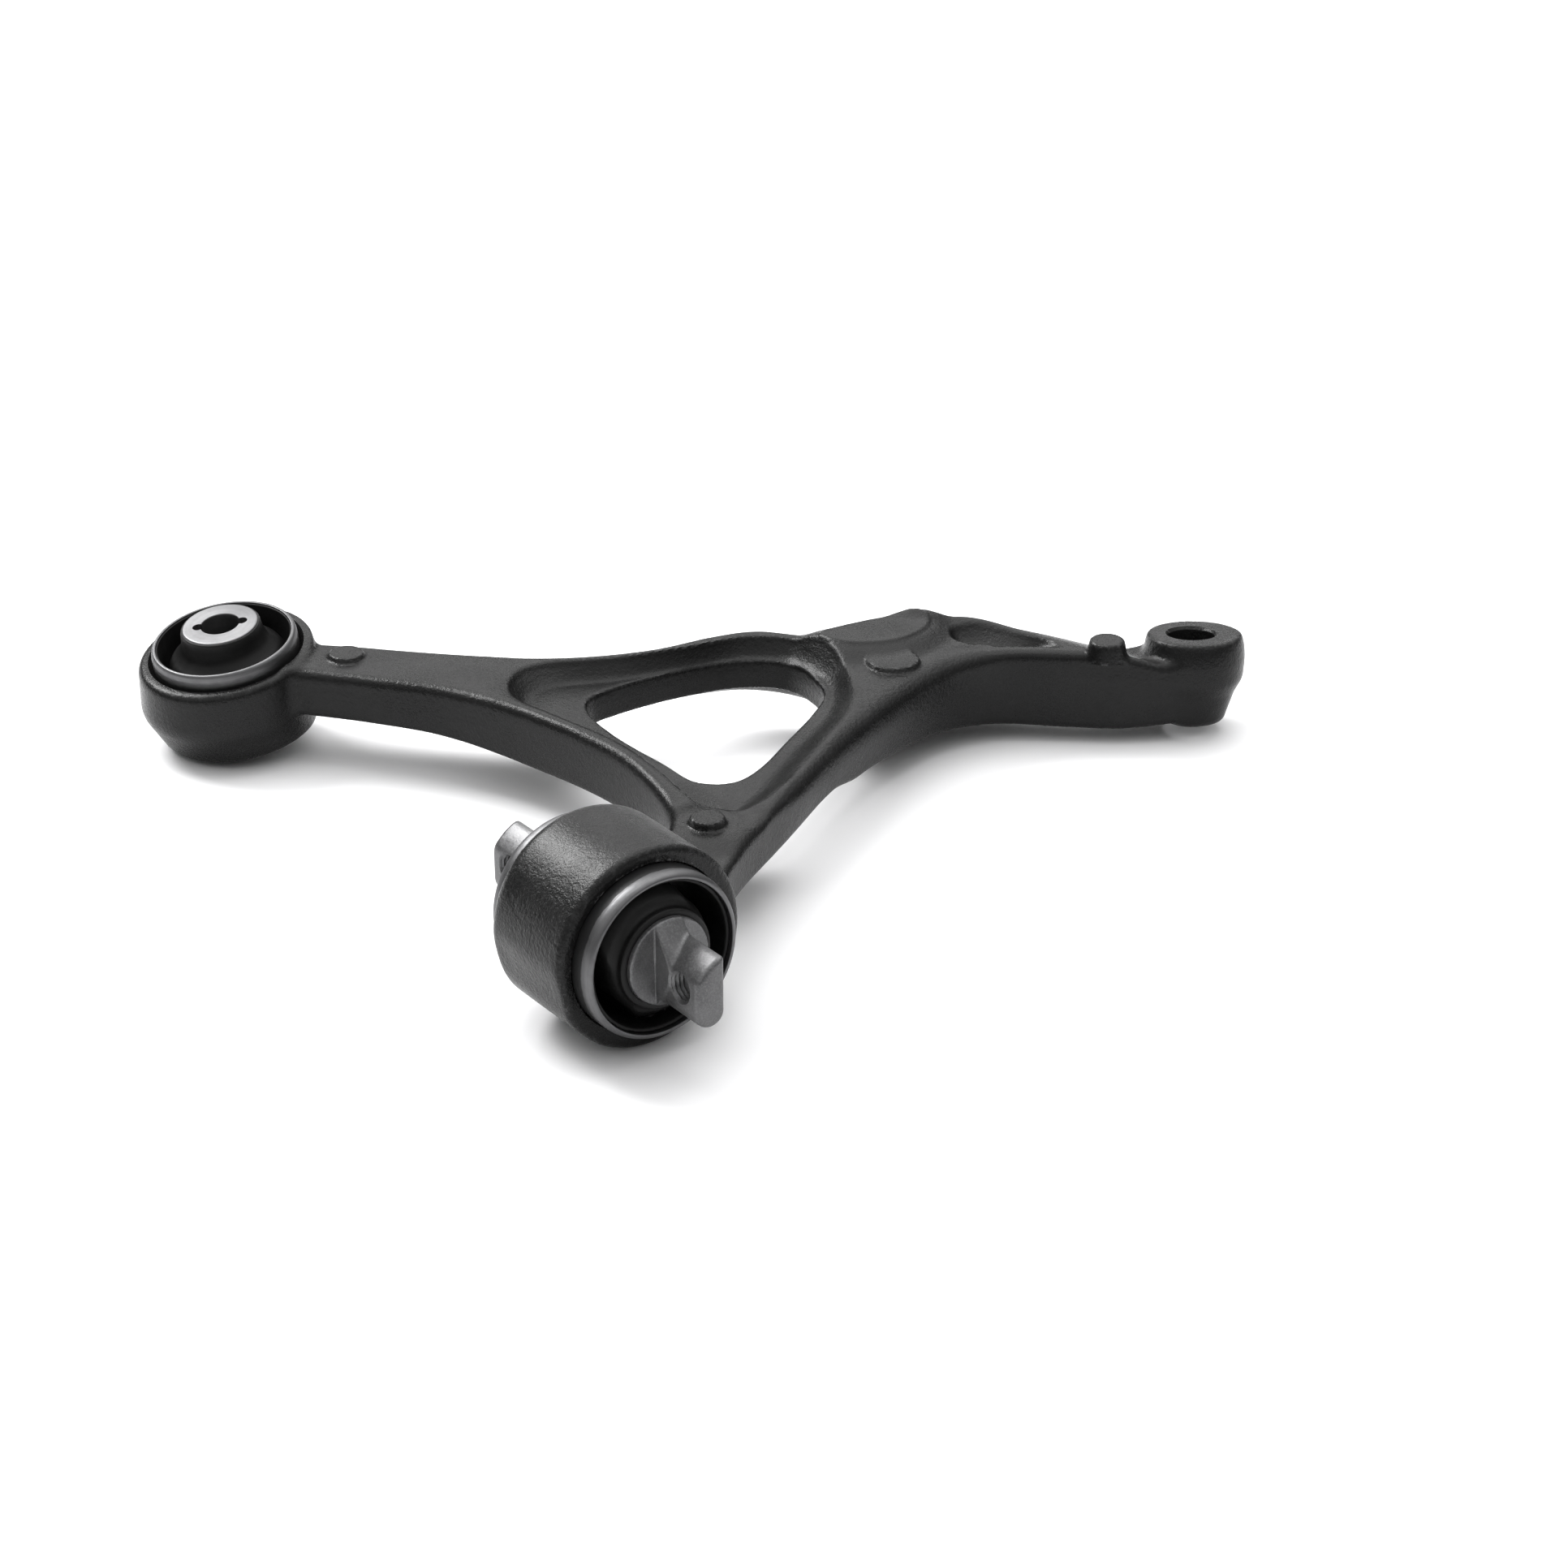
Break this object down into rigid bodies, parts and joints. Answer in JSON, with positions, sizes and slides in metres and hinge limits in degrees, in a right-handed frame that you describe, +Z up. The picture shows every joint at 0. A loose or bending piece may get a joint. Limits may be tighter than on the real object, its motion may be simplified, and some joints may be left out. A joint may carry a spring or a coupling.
{
  "type": "suspension control arm",
  "caption": "Cast triangular suspension arm with a bored ball-joint boss, a horizontal bar-pin bush and an upright core bush.",
  "frame": {"origin": "midway between the two threaded holes in the front bush's bar pin, on the bar's middle plane", "axes": "+X along the bar pin towards the front; +Y outboard to the ball-joint boss; +Z up as the arm lies on a bench"},
  "size_m": [0.3935, 0.4034, 0.0792],
  "materials": {
    "black_casting": "satin black paint over cast iron",
    "plain_steel": "bare drawn steel",
    "forged_steel": "grey forged steel with a phosphate look",
    "cast_core": "machined aluminium",
    "bush_rubber": "moulded black rubber"
  },
  "bodies": {
    "arm": {"arm_casting": "black_casting", "front_bush_outer_sleeve": "plain_steel", "front_bush_rubber": "bush_rubber", "rear_bush_outer_sleeve": "plain_steel", "rear_bush_rubber": "bush_rubber"},
    "front_pin": {"front_bush_bar_pin": "forged_steel"},
    "rear_core": {"rear_bush_core": "cast_core"}
  },
  "joints": [
    {"name": "front_bush_twist", "type": "hinge", "parent": "arm", "child": "front_pin", "pos_m": [0.006, 0, 0.002], "axis": [0.9993, -0.0152, 0.0338], "range_deg": [-18, 18], "stiffness_Nm_per_rad": 80, "deforming": ["front_bush_rubber"]},
    {"name": "rear_bush_tilt", "type": "hinge", "parent": "arm", "child": "rear_core", "pos_m": [-0.29, 0.0045, -0.008], "axis": [0.9993, -0.0152, 0.0338], "range_deg": [-18, 18], "stiffness_Nm_per_rad": 50, "deforming": ["rear_bush_rubber"]}
  ],
  "couplings": [
    {"joint": "rear_bush_tilt", "follows": "front_bush_twist", "ratio": 1}
  ]
}
